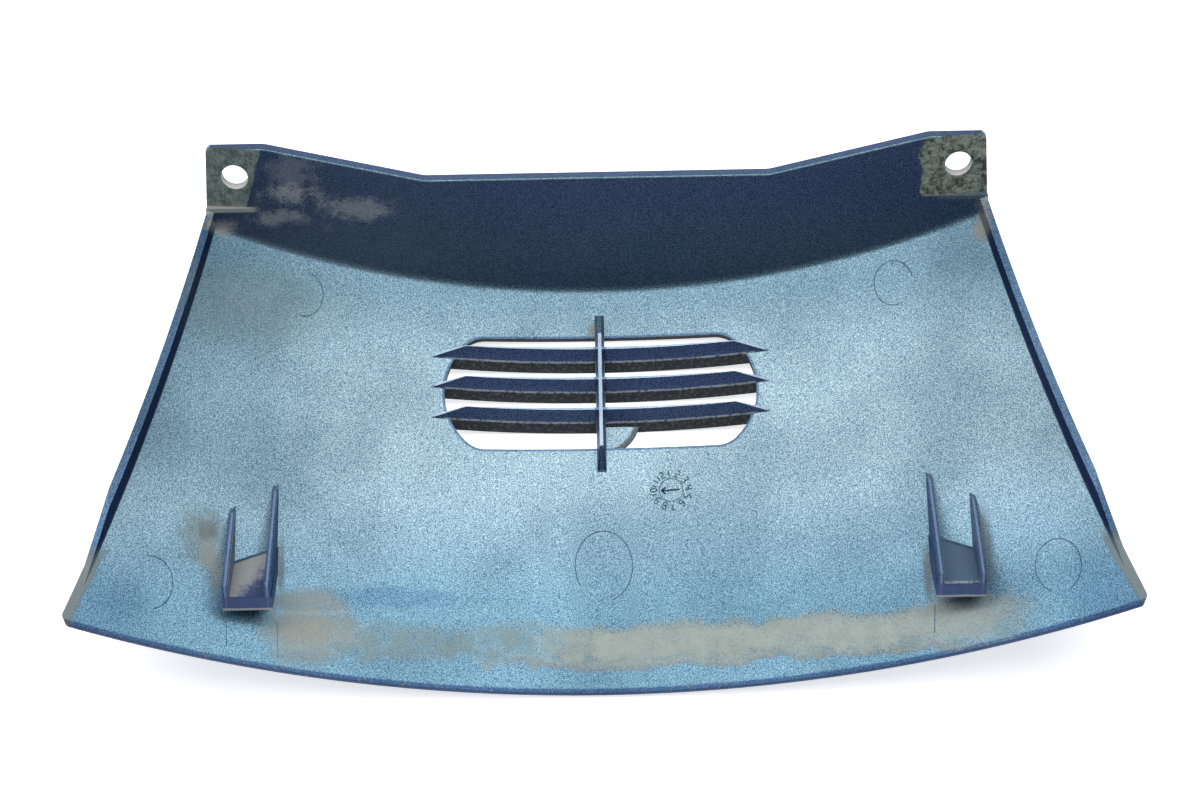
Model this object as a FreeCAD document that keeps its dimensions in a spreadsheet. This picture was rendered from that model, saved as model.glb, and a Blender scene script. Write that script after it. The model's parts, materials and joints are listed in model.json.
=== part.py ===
import FreeCAD, Part
import math
import os
import Sketcher

# Rear fairing cover of a scooter, moulded in one piece.
# It lies on its bowed outer skin. X runs across the panel, Y runs up the panel towards the
# flange, Z is up. While it is modelled, Y = 0 is the fold: the line, in the middle of the
# panel, where the front face of the flange meets the inner skin. Flange, lips, blades and
# hooks all stand along the draw direction of the mould, which leans from Z towards +Y.

NODE = "rear_cover"

# Driving sizes, in millimetres and degrees.
SIZES = {
    # skin of the panel
    "wall": 2.5,
    "bow_radius": 300.0,
    "draw_lean": 37.7,
    "panel_length": 107.8,
    "edge_lean": 24.0,
    "fold_width": 198.8,
    "foot_width": 263.0,
    "foot_drop": 1.14,
    "side_radius": 1150.0,
    "corner_radius": 1.5,
    "edge_radius": 1.2,
    # flange and its ears
    "flange_wall": 3.4,
    "flange_height": 33.9,
    "flange_flat": 88.0,
    "flange_bend": 8.0,
    "flange_rim": 0.6,
    "ear_height": 43.9,
    "ear_width": 15.2,
    "ear_lap": 1.4,
    "ear_step": 0.8,
    "ear_taper": 1.4,
    "ear_corner": 1.2,
    "seat_width": 13.2,
    "seat_gap": 0.6,
    "seat_depth": 1.4,
    "hole_diameter": 6.8,
    "hole_inset": 7.4,
    "hole_drop": 8.3,
    "fold_radius": 2.5,
    "back_fold_radius": 3.4,
    # side lips
    "lip_wall": 1.7,
    "lip_height": 3.4,
    "lip_ramp": 5.5,
    "lip_stop": 5.5,
    # vent
    "vent_centre": 28.2,
    "vent_width": 80.4,
    "vent_length": 30.0,
    "vent_corner": 7.0,
    "vent_end": 18.0,
    "blade_pitch": 8.2,
    "blade_wall": 1.6,
    "blade_top": 0.5,
    "blade_bend": 860.0,
    "blade_height": 3.4,
    "blade_shoulder": 34.5,
    "blade_tip": 46.8,
    "rib_wall": 2.4,
    "rib_top": 0.9,
    "rib_length": 42.6,
    "rib_ramp": 6.1,
    "gate_radius": 10.1,
    "gate_offset": 2.0,
    "gate_sink": 1.0,
    # hooks
    "hook_spacing": 174.2,
    "hook_width": 12.2,
    "hook_drop": 86.5,
    "hook_rise": 9.9,
    "hook_ramp": 36.3,
    "tongue_wall": 3.8,
    "gusset_spacing": 10.2,
    "gusset_wall": 1.5,
    "gusset_ramp": 25.6,
    "gusset_proud": 3.5,
}

BLADE_ROWS = (-1, 0, 1)
SIDES = (-1, 1)

# How near a point lies to a face, in millimetres, to count as on it.
TOUCH = 0.01


class Size:
    """A size held twice: as a number, and as the sheet expression that gives that number."""

    def __init__(self, number, text):
        self.number = number
        self.text = text

    def __add__(self, other):
        other = as_size(other)
        return Size(self.number + other.number, f"({self.text} + {other.text})")

    def __sub__(self, other):
        other = as_size(other)
        return Size(self.number - other.number, f"({self.text} - {other.text})")

    def __mul__(self, other):
        other = as_size(other)
        return Size(self.number * other.number, f"({self.text} * {other.text})")

    def __truediv__(self, other):
        other = as_size(other)
        return Size(self.number / other.number, f"({self.text} / {other.text})")

    def __neg__(self):
        return Size(-self.number, f"(-1 * {self.text})")


def as_size(value):
    """A plain number as a Size, and a Size as it is."""
    if isinstance(value, Size):
        return value
    return Size(float(value), f"({float(value)})")


def sine(angle):
    return Size(math.sin(math.radians(angle.number)), f"sin({angle.text})")


def cosine(angle):
    return Size(math.cos(math.radians(angle.number)), f"cos({angle.text})")


def tangent(angle):
    return Size(math.tan(math.radians(angle.number)), f"tan({angle.text})")


def root(value):
    return Size(math.sqrt(value.number), f"sqrt({value.text})")


def make_sheet(doc):
    """The spreadsheet of driving sizes, and each size by its name."""
    sheet = doc.addObject("Spreadsheet::Sheet", "Dimensions")
    for row, (name, value) in enumerate(SIZES.items(), start=1):
        sheet.set(f"A{row}", name)
        sheet.set(f"B{row}", str(value))
        sheet.setAlias(f"B{row}", name)
    doc.recompute()
    return {name: Size(float(sheet.get(name)), f"Dimensions.{name}") for name in SIZES}


def bind(thing, path, size):
    """Tie a property, or a number inside one, to a size."""
    thing.setExpression(path, as_size(size).text)


def make_sketch(body, name, role, base=(0, 0, 0), lean=None):
    """A sketch on one of the body's origin planes, moved by base and leant about X."""
    plane = [item for item in body.Origin.OriginFeatures if item.Role == role][0]
    sketch = body.newObject("Sketcher::SketchObject", name)
    sketch.AttachmentSupport = [(plane, "")]
    sketch.MapMode = "FlatFace"
    base = [as_size(value) for value in base]
    angle = lean if lean else as_size(0)
    sketch.AttachmentOffset = FreeCAD.Placement(
        FreeCAD.Vector(*[value.number for value in base]),
        FreeCAD.Rotation(FreeCAD.Vector(-1, 0, 0), angle.number))
    for axis, value in zip("xyz", base):
        bind(sketch, f".AttachmentOffset.Base.{axis}", value)
    if lean:
        bind(sketch, ".AttachmentOffset.Rotation.Angle", lean)
    return sketch


def draw_outline(sketch, corners, rounds=None):
    """Draw a closed outline; rounds gives, by corner number, the radius of the arc after it."""
    rounds = rounds or {}
    corners = [(as_size(x), as_size(y)) for x, y in corners]
    points = [FreeCAD.Vector(x.number, y.number, 0) for x, y in corners]
    edges = []
    for number, start in enumerate(points):
        end = points[(number + 1) % len(points)]
        if number in rounds:
            edges.append(add_arc(sketch, start, end, rounds[number]))
        else:
            line = sketch.addGeometry(Part.LineSegment(start, end), False)
            edges.append((line, 1, 2))
    for number, (edge, first, _) in enumerate(edges):
        previous, _, last = edges[number - 1]
        sketch.addConstraint(Sketcher.Constraint("Coincident", previous, last, edge, first))
        for kind, value in zip(("DistanceX", "DistanceY"), corners[number]):
            index = sketch.addConstraint(Sketcher.Constraint(kind, edge, first, value.number))
            bind(sketch, f"Constraints[{index}]", value)


def add_arc(sketch, start, end, radius):
    """Add the shorter arc from start to end, tied to its radius; returns its end numbers."""
    chord = end - start
    left = FreeCAD.Vector(-chord.y, chord.x, 0).normalize()
    side = math.copysign(1, radius.number)
    rise = math.sqrt(radius.number ** 2 - (chord.Length / 2) ** 2)
    centre = (start + end) * 0.5 + left * (side * rise)
    turns = [math.atan2(point.y - centre.y, point.x - centre.x) for point in (start, end)]
    circle = Part.Circle(centre, FreeCAD.Vector(0, 0, 1), abs(radius.number))
    if side > 0:
        arc = sketch.addGeometry(Part.ArcOfCircle(circle, turns[0], turns[1]), False)
        ends = (arc, 1, 2)
    else:
        arc = sketch.addGeometry(Part.ArcOfCircle(circle, turns[1], turns[0]), False)
        ends = (arc, 2, 1)
    index = sketch.addConstraint(Sketcher.Constraint("Radius", arc, abs(radius.number)))
    bind(sketch, f"Constraints[{index}]", radius if side > 0 else -radius)
    return ends


def add_circle(sketch, x, y, diameter):
    """A full circle, tied to its centre and its diameter."""
    x, y = as_size(x), as_size(y)
    centre = FreeCAD.Vector(x.number, y.number, 0)
    circle = sketch.addGeometry(
        Part.Circle(centre, FreeCAD.Vector(0, 0, 1), diameter.number / 2), False)
    for kind, value in (("DistanceX", x), ("DistanceY", y)):
        index = sketch.addConstraint(Sketcher.Constraint(kind, circle, 3, value.number))
        bind(sketch, f"Constraints[{index}]", value)
    index = sketch.addConstraint(Sketcher.Constraint("Diameter", circle, diameter.number))
    bind(sketch, f"Constraints[{index}]", diameter)


def pad(body, name, sketch, length, symmetric=False, reverse=False, slope=None):
    """Raise a sketch by length; with a slope, along a line that leans by it towards +Y, measured along Z."""
    feature = body.newObject("PartDesign::Pad", name)
    feature.Profile = sketch
    feature.SideType = "Symmetric" if symmetric else "One side"
    feature.Reversed = reverse
    if slope:
        feature.UseCustomVector = True
        feature.Direction = FreeCAD.Vector(0, slope.number, 1)
        bind(feature, "Direction.y", slope)
        feature.AlongSketchNormal = True
    bind(feature, "Length", length)
    sketch.Visibility = False
    return feature


def cut(body, name, sketch, length=None, reverse=False):
    """Cut a sketch right through the body both ways, or one way by length."""
    before = solid_volume(body)
    feature = body.newObject("PartDesign::Pocket", name)
    feature.Profile = sketch
    if length:
        feature.SideType = "One side"
        feature.Reversed = reverse
        bind(feature, "Length", length)
    else:
        feature.Type = "ThroughAll"
        feature.SideType = "Symmetric"
    sketch.Visibility = False
    if solid_volume(body) >= before:
        raise RuntimeError(f"{name} cuts nothing")
    return feature


def solid_volume(body):
    body.Document.recompute()
    return body.Shape.Volume


def round_edges(body, name, radius, test):
    """Fillet every edge of the body whose points all pass the test."""
    body.Document.recompute()
    names = []
    for number, edge in enumerate(body.Tip.Shape.Edges, start=1):
        points = edge.discretize(7)
        if all(test(point) for point in points):
            names.append(f"Edge{number}")
    if not names:
        raise RuntimeError(f"{name} finds no edge")
    base = body.Tip
    feature = body.newObject("PartDesign::Fillet", name)
    feature.Base = (base, names)
    bind(feature, "Radius", radius)
    return feature


class Cover:
    """The sizes that several forms of the cover share, worked out from the driving ones."""

    def __init__(self, size):
        self.size = size
        lean = size["draw_lean"]
        self.rise = cosine(lean)
        self.slope = tangent(lean)
        self.inner_radius = size["bow_radius"] - size["wall"]
        self.core_radius = size["bow_radius"] - size["wall"] / 2
        self.foot_half = size["foot_width"] / 2
        self.fold_half = size["fold_width"] / 2
        self.ear_top_half = self.fold_half + size["ear_step"] - size["ear_taper"]
        lip_rise = self.skin(self.inner_radius - size["lip_height"], self.fold_half) - size["wall"]
        self.lip_level = lip_rise / self.rise
        corner_rise = self.skin(self.inner_radius, self.foot_half)
        corner_drop = corner_rise * (self.slope - tangent(size["edge_lean"]))
        self.side_end = -(size["panel_length"] + corner_drop + size["foot_drop"])
        self.back_line = size["flange_wall"] / self.rise - size["wall"] * self.slope
        self.stock = self.foot_half + size["ear_height"]
        self.reach = self.foot_half + size["ear_width"]
        self.stock_base = (0, -size["wall"] * self.slope, -size["wall"])

    def skin(self, radius, x):
        """Height, at x, of a skin of this radius about the axis of the bow."""
        x = as_size(x)
        return self.size["bow_radius"] - root(radius * radius - x * x)

    def on_skin(self, point, radius):
        """Whether a point lies on the skin of this radius."""
        away = math.hypot(point.x, point.z - self.size["bow_radius"].number)
        return abs(away - radius.number) < TOUCH

    def on_flange(self, point, depth):
        """Whether a point lies this deep behind the plane of the flange's front face."""
        lean = math.radians(self.size["draw_lean"].number)
        rise = point.z - self.size["wall"].number
        return abs(point.y * math.cos(lean) - rise * math.sin(lean) - depth) < TOUCH

    def flange_level(self, point):
        """How far a point lies up the flange from the fold."""
        lean = math.radians(self.size["draw_lean"].number)
        return point.y * math.sin(lean) + (point.z - self.size["wall"].number) * math.cos(lean)

    def on_bottom(self, point):
        """Whether a point lies on the flat cut of the bottom edge."""
        lean = math.radians(self.size["edge_lean"].number)
        line = point.z * math.tan(lean) - self.size["panel_length"].number
        return abs(point.y - line) < TOUCH

    def above(self, sketch, radius, shoulder=None, tip=None):
        """Outline of all above a bowed skin, which may slope from shoulder to tip into the wall."""
        end = shoulder or self.reach
        corners = [(-end, self.skin(radius, end)), (end, self.skin(radius, end))]
        side = [(self.reach, self.stock)]
        if tip:
            side = [(tip, self.skin(self.core_radius, tip)), (tip, -self.reach),
                    (self.reach, -self.reach), (self.reach, self.stock)]
        corners += side
        corners += [(-x, y) for x, y in reversed(side)]
        draw_outline(sketch, corners, {0: radius})

    def below(self, sketch, radius):
        """Outline of all that lies below a bowed skin."""
        edge = self.skin(radius, self.reach)
        corners = [(-self.reach, edge), (self.reach, edge),
                   (self.reach, -self.reach), (-self.reach, -self.reach)]
        draw_outline(sketch, corners, {0: radius})


def raise_outline(body, cover, name, inset, top):
    """The outline of the panel, drawn in by the inset and up to the top line, raised along the draw."""
    size = cover.size
    outline = make_sketch(body, f"{name}Outline", "XY_Plane", cover.stock_base)
    fold, foot = cover.fold_half - inset, cover.foot_half - inset
    end = cover.side_end - cover.stock
    corners = [
        (-fold, top), (-fold, 0), (-foot, cover.side_end), (-foot, end),
        (foot, end), (foot, cover.side_end), (fold, 0), (fold, top),
    ]
    draw_outline(outline, corners, {1: -size["side_radius"], 5: -size["side_radius"]})
    pad(body, f"{name}Stock", outline, cover.stock, slope=cover.slope)


def add_panel(body, cover):
    """The panel's outline raised, then cut down to the tops of the lips, which run out above the corners."""
    size = cover.size
    raise_outline(body, cover, "Panel", as_size(0), cover.back_line)
    top = make_sketch(body, "AboveLips", "XZ_Plane")
    lip_radius = cover.inner_radius - size["lip_height"]
    tip = cover.foot_half - size["lip_stop"]
    shoulder = tip - size["lip_ramp"]
    side = [
        (shoulder, cover.skin(lip_radius, shoulder)), (tip, cover.skin(cover.inner_radius, tip)),
        (cover.reach, cover.skin(cover.inner_radius, cover.reach)), (cover.reach, cover.stock),
    ]
    corners = [(-x, y) for x, y in reversed(side)] + side
    draw_outline(top, corners, {1: cover.inner_radius, 3: lip_radius, 5: cover.inner_radius})
    cut(body, "LipTops", top)


def form_inside(doc, cover):
    """All that lies above the inner skin between the two side lips, to be taken out of the panel."""
    body = doc.addObject("PartDesign::Body", "Inside")
    raise_outline(body, cover, "Inside", cover.size["lip_wall"], cover.reach)
    below = make_sketch(body, "BelowInnerSkin", "XZ_Plane")
    cover.below(below, cover.inner_radius)
    cut(body, "InnerSkin", below)
    return body


def add_flange(body, cover):
    """The standing flange, higher at its two ears, and the round in the fold below it."""
    size = cover.size
    lean = size["draw_lean"]
    outline = make_sketch(body, "FlangeOutline", "XZ_Plane", (0, size["wall"], 0), lean)
    ear_inner = cover.fold_half - size["ear_width"]
    ear_foot = cover.lip_level - size["ear_lap"]
    flat = size["flange_flat"] / 2
    side = [
        (cover.fold_half, -cover.reach), (cover.fold_half, ear_foot),
        (cover.fold_half + size["ear_step"], ear_foot),
        (cover.ear_top_half, size["ear_height"] - size["ear_corner"]),
        (cover.ear_top_half - size["ear_corner"], size["ear_height"]),
        (ear_inner, size["ear_height"]), (flat, size["flange_height"]),
    ]
    draw_outline(outline, side + [(-x, y) for x, y in reversed(side)])
    pad(body, "Flange", outline, size["flange_wall"], reverse=True)
    round_edges(body, "InnerFold", size["fold_radius"],
                lambda point: cover.on_flange(point, 0) and cover.on_skin(point, cover.inner_radius))
    round_flange(body, cover, (ear_inner, flat))


def round_flange(body, cover, bends):
    """Round the bends in the top of the flange, and then its rim between the ear corners."""
    size = cover.size
    bend_lines = [bend.number for bend in bends]
    back = size["flange_wall"].number
    corner = (cover.ear_top_half - size["ear_corner"]).number
    round_edges(body, "FlangeBends", size["flange_bend"],
                lambda point: any(abs(abs(point.x) - line) < TOUCH for line in bend_lines))
    round_edges(body, "FlangeRim", size["flange_rim"],
                lambda point: (cover.on_flange(point, 0) or cover.on_flange(point, back))
                and cover.flange_level(point) > size["flange_height"].number - TOUCH
                and abs(point.x) < corner + TOUCH)


def trim_outside(body, cover):
    """Cut everything down to the outer skin, and round the fold on the outside."""
    size = cover.size
    sketch = make_sketch(body, "BelowOuterSkin", "XZ_Plane")
    cover.below(sketch, size["bow_radius"])
    cut(body, "OuterSkin", sketch)
    round_edges(body, "OuterEdge", size["edge_radius"],
                lambda point: cover.on_bottom(point) and cover.on_skin(point, size["bow_radius"]))
    back = size["flange_wall"].number
    round_edges(body, "OuterFold", size["back_fold_radius"],
                lambda point: cover.on_flange(point, back) and cover.on_skin(point, size["bow_radius"]))


def cut_vent(body, cover):
    """The rounded opening of the vent, square to the skin."""
    size = cover.size
    sketch = make_sketch(body, "VentOpening", "XY_Plane", (0, -size["vent_centre"], 0))
    wide, tall = size["vent_width"] / 2, size["vent_length"] / 2
    corner, end = size["vent_corner"], size["vent_end"]
    down = tall - corner
    along = root((end - corner) * (end - corner) - down * down)
    flat = wide - end + along
    meet = (wide - end + along * end / (end - corner), down * end / (end - corner))
    corners = [
        (flat, -tall), (meet[0], -meet[1]), meet, (flat, tall),
        (-flat, tall), (-meet[0], meet[1]), (-meet[0], -meet[1]), (-flat, -tall),
    ]
    draw_outline(sketch, corners, {0: corner, 1: end, 2: corner, 4: corner, 5: end, 6: corner})
    cut(body, "Vent", sketch)


def raise_strips(body, cover, name, start, width, slope):
    """One strip for each blade, arched a little across the vent and raised along the slope."""
    size = cover.size
    tip, bend = size["blade_tip"], size["blade_bend"]
    arch = bend - root(bend * bend - tip * tip)
    strips = make_sketch(body, f"{name}Strips", "XY_Plane", cover.stock_base)
    for row in BLADE_ROWS:
        middle = size["blade_pitch"] * row - size["vent_centre"] - size["wall"] * cover.slope
        low = middle - arch + start
        high = low + width
        draw_outline(strips, [(tip, low), (tip, high), (-tip, high), (-tip, low)], {1: bend, 3: -bend})
    pad(body, f"{name}Stock", strips, cover.stock, slope=slope)


def add_blades(doc, cover):
    """The blades of the vent: strips that stand up the draw and thin towards their tops at the back."""
    size = cover.size
    body = doc.addObject("PartDesign::Body", "VentBlades")
    thin = (size["blade_wall"] - size["blade_top"]) / cover.rise / (size["wall"] + size["blade_height"])
    foot = size["blade_wall"] / cover.rise + thin * size["wall"]
    raise_strips(body, cover, "Blade", as_size(0), foot, cover.slope)
    backs = doc.addObject("PartDesign::Body", "BladeBacks")
    raise_strips(backs, cover, "Back", foot, size["blade_pitch"] / 2, cover.slope - thin)
    combine(body, backs, "Cut")
    above = make_sketch(body, "AboveBlades", "XZ_Plane")
    cover.above(above, cover.inner_radius - size["blade_height"],
                size["blade_shoulder"], size["blade_tip"])
    cut(body, "BladeTop", above)
    below = make_sketch(body, "BelowBlades", "XZ_Plane")
    cover.below(below, size["bow_radius"])
    cut(body, "BladeFoot", below)
    return body


def add_rib(doc, cover):
    """The lengthwise rib, thinner at its top, with a sloping end above and below the vent."""
    size = cover.size
    body = doc.addObject("PartDesign::Body", "VentRib")
    sketch = make_sketch(body, "RibSide", "YZ_Plane", (-size["vent_centre"], size["wall"], 0))
    half = size["rib_length"] / 2
    shoulder = half - size["rib_ramp"]
    height = size["blade_height"]
    deep = -size["wall"] * 2
    draw_outline(sketch, [(-half, deep), (half, deep), (half, 0),
                          (shoulder, height), (-shoulder, height), (-half, 0)])
    pad(body, "Rib", sketch, size["rib_wall"], symmetric=True)
    flanks = make_sketch(body, "RibFlanks", "XZ_Plane", (0, size["wall"], 0))
    wide, top = size["rib_wall"] / 2, size["rib_top"] / 2
    for side in SIDES:
        corners = [(wide * side, 0), (wide * side * 2, 0), (wide * side * 2, height), (top * side, height)]
        draw_outline(flanks, corners)
    cut(body, "RibTaper", flanks)
    add_gate(body, cover)
    below = make_sketch(body, "BelowRib", "XZ_Plane")
    cover.below(below, size["bow_radius"])
    cut(body, "RibFoot", below)
    return body


def add_gate(body, cover):
    """The part-round pad, sunk a little below the inner skin, beside the lowest blade."""
    size = cover.size
    radius, offset = size["gate_radius"], size["gate_offset"]
    centre = offset - size["vent_centre"] - size["blade_pitch"]
    sketch = make_sketch(body, "GatePad", "XY_Plane", (0, centre, -size["wall"]))
    reach = root(radius * radius - offset * offset)
    draw_outline(sketch, [(0, -offset), (0, -radius), (reach, -offset)], {1: radius})
    pad(body, "Gate", sketch, size["wall"] * 2 - size["gate_sink"])


def add_hooks(body, cover):
    """Two hooks: a ramp that ends in a tongue over a slot, held between two gussets."""
    size = cover.size
    lean = size["draw_lean"]
    level = cover.skin(cover.inner_radius, size["hook_spacing"] / 2)
    ridge = (-size["hook_drop"], level + size["hook_rise"])
    tip = (ridge[0] - size["tongue_wall"] * sine(lean), ridge[1] - size["tongue_wall"] * cosine(lean))
    head = (ridge[0] + size["gusset_proud"] * sine(lean), ridge[1] + size["gusset_proud"] * cosine(lean))
    ramp = tangent(size["hook_ramp"])
    ramp_foot = (ridge[0] + ridge[1] / ramp, 0)
    slot_foot = (tip[0] + tip[1] / ramp, 0)
    gusset_foot = (head[0] + head[1] / tangent(size["gusset_ramp"]), 0)
    for side, word in zip(SIDES, ("Left", "Right")):
        middle = size["hook_spacing"] / 2 * side
        tongue = make_sketch(body, f"TongueSide{word}", "YZ_Plane", (0, 0, middle))
        draw_outline(tongue, [ridge, tip, slot_foot, ramp_foot])
        pad(body, f"Tongue{word}", tongue, size["hook_width"], symmetric=True)
        for end, place in zip(SIDES, ("A", "B")):
            centre = middle + size["gusset_spacing"] / 2 * end
            gusset = make_sketch(body, f"GussetSide{word}{place}", "YZ_Plane", (0, 0, centre))
            draw_outline(gusset, [ridge, tip, slot_foot, gusset_foot, head])
            pad(body, f"Gusset{word}{place}", gusset, size["gusset_wall"], symmetric=True)


def recess_ears(body, cover):
    """The seats on the ears: a shallow wedge cut in front, deepest at the outer edge."""
    size = cover.size
    lean = size["draw_lean"]
    seat_foot = cover.lip_level + size["seat_gap"]
    base = (0, seat_foot * sine(lean), size["wall"] + seat_foot * cosine(lean))
    sketch = make_sketch(body, "EarSeats", "XY_Plane", base, lean)
    inner = cover.fold_half - size["seat_width"] * 2
    outer = cover.fold_half + size["seat_width"]
    shallow, deep = -size["seat_depth"], size["seat_depth"] * 2
    clear = -size["flange_wall"]
    for side in SIDES:
        draw_outline(sketch, [(inner * side, clear), (inner * side, shallow),
                              (outer * side, deep), (outer * side, clear)])
    cut(body, "EarFaces", sketch, size["ear_height"], reverse=True)


def drill_ears(body, cover):
    """The two screw holes, square to the flange."""
    size = cover.size
    holes = make_sketch(body, "EarHoles", "XZ_Plane", (0, size["wall"], 0), size["draw_lean"])
    across = cover.fold_half - size["hole_inset"]
    height = size["ear_height"] - size["hole_drop"]
    for side in SIDES:
        add_circle(holes, across * side, height, size["hole_diameter"])
    cut(body, "Holes", holes)


def trim_bottom(body, cover):
    """The bottom edge: one flat cut across the panel, leaning towards the flange."""
    size = cover.size
    sketch = make_sketch(body, "BelowBottomEdge", "YZ_Plane")
    slope = tangent(size["edge_lean"])
    low = -size["panel_length"]
    far = cover.side_end - cover.stock * 2
    corners = [(low - cover.stock * slope, -cover.stock), (low + cover.stock * slope, cover.stock),
               (far, cover.stock), (far, -cover.stock)]
    draw_outline(sketch, corners)
    cut(body, "BottomEdge", sketch)
    round_edges(body, "BottomCorners", size["corner_radius"],
                lambda point: cover.on_bottom(point) and abs(point.x) > cover.fold_half.number)


def combine(body, form, kind):
    """Join another body to this one, or take it out of it."""
    feature = body.newObject("PartDesign::Boolean", f"{kind}{form.Name}")
    feature.Type = kind
    feature.setObjects([form])
    body.Document.recompute()


def check(doc, body):
    """Stop if any object failed, or if the cover isn't one sound solid."""
    doc.recompute()
    for item in doc.Objects:
        if "Invalid" in item.State or "Error" in item.State:
            raise RuntimeError(f"{item.Name} failed: {item.State}")
    shape = body.Shape
    if shape.isNull() or not shape.isValid() or len(shape.Solids) != 1:
        raise RuntimeError("the cover isn't one valid solid")


def stand_on_origin(doc, body):
    """Put the origin under the middle of the cover, at the height that it rests on."""
    box = body.Shape.optimalBoundingBox(False, False)
    body.Placement.Base = FreeCAD.Vector(-box.Center.x, -box.Center.y, -box.ZMin)
    doc.recompute()


def build():
    doc = FreeCAD.newDocument("RearCover")
    cover = Cover(make_sheet(doc))
    body = doc.addObject("PartDesign::Body", "RearCover")
    body.Label = NODE
    add_panel(body, cover)
    combine(body, form_inside(doc, cover), "Cut")
    trim_bottom(body, cover)
    cut_vent(body, cover)
    add_flange(body, cover)
    recess_ears(body, cover)
    drill_ears(body, cover)
    add_hooks(body, cover)
    trim_outside(body, cover)
    blades = add_blades(doc, cover)
    combine(blades, add_rib(doc, cover), "Fuse")
    combine(body, blades, "Fuse")
    check(doc, body)
    stand_on_origin(doc, body)
    return body


cover_body = build()
os.makedirs("parts", exist_ok=True)
cover_body.Shape.exportStep(f"parts/{cover_body.Label}.step")
print(cover_body.Label, cover_body.Shape.optimalBoundingBox(False, False))
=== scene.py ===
import json
import math

import bpy
import numpy as np
from mathutils import Matrix

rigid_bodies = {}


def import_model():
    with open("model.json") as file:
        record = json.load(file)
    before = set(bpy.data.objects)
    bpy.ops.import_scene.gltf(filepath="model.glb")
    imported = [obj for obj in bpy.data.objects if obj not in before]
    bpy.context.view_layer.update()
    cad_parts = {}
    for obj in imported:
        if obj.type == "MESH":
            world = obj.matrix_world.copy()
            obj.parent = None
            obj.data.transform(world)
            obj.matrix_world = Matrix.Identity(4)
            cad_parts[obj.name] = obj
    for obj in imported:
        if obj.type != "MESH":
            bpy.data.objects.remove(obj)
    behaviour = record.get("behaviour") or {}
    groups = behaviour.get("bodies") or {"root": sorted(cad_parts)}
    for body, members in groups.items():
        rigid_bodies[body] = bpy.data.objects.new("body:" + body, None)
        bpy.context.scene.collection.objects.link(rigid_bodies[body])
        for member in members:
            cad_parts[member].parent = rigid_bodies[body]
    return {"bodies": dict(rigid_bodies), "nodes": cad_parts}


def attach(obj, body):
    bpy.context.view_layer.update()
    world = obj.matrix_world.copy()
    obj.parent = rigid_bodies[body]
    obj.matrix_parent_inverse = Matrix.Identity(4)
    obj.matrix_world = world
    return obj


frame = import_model()

# Everything is in metres in the cover's own frame; the paint and the marks work in millimetres.
MM = 0.001

# The form of the cover that the paint and the marks follow, in millimetres.
BOW_RADIUS = 300.0
WALL = 2.5
INNER_RADIUS = BOW_RADIUS - WALL
FOLD_Y = 38.929                          # the panel's upper end, where the flange stands up
DRAW_LEAN = math.radians(37.7)           # the flange, the blades and the clips lean along the draw
FOOT_Y, FOOT_SLOPE = -68.87, 0.445       # the bottom edge moves up the panel as the bow rises
LIP_FOOT, LIP_SLOPE = 95.5, 0.298        # the side lips' inner foot at the fold, and how it spreads
SIDE_END_X, SIDE_END_Y, SIDE_END_SLOPE = 123.6, -38.0, 0.42    # the lower end of the side edges
VENT_Y = 10.73
VENT_END = (22.2, 18.0)                  # middle and radius of the vent's round ends
VENT_CORNER = (29.75, 8.0, 7.0)          # middle and radius of its corners
VENT_TURN = (13.0, 13.2)                 # how far up the corners take over from the ends
RIB_FOOT_Y = -4.0                        # below it the rib stands on the panel
GATE_Y, GATE_RADIUS = 4.53, 10.1
HOLE_X, HOLE_LEVEL = 92.0, 35.6
HOLE_RIM = (3.52, 3.44)
CLIP_X, CLIP_RIB = 87.1, 5.1             # middle of each clip, and of its ribs from there
RAMP_END_Y, TONGUE_FOOT = -47.0, -38.55  # the ramp's lower end, and the tongue's level
LEFT_EAR = (84.6, 43.9, 0.30)            # the left ear's rubbed seat: edge, level and slope
RIGHT_EAR_X = 82.8
SEAT_LEVEL = (26.3, 26.9)

# The moulded lines and the dial, in millimetres.
PIN_RIMS = (((-75.9, 35.9), 4.8, -100, 75), ((75.9, 35.9), 4.8, 10, 290),
            ((-111.1, -42.8), 5.3, -80, 100), ((111.1, -42.8), 5.3, -60, 250),
            ((0.0, -35.3), 7.25, -75, 215))
PIN_RIM_BEAD = (0.34, 0.07)
SEAMS = (((-81.1, -49.5), (-80.6, -61.5)), ((-93.1, -51.0), (-92.9, -58.0)),
         ((81.7, -49.5), (81.2, -57.0)))
SEAM_BEAD = (0.26, 0.05)
DIAL = (17.5, -15.8)
DIAL_RING, RING_BEAD = 3.05, (0.24, 0.10)
POINTER = (((2.5, 0.1), (-2.4, -0.1), 0.60), ((-2.6, -0.1), (-1.3, 0.8), 0.50),
           ((-2.6, -0.1), (-1.3, -1.0), 0.50))
POINTER_HEIGHT = 0.16
MONTHS = 12
FIRST_MONTH_ANGLE, MONTH_REACH = 97.0, 4.45
FIGURE_SIZE, SMALL_FIGURE_SIZE, FIGURE_PITCH = 0.92, 0.80, 1.6
FIGURE_BEAD = (0.40, 0.12)

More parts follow.
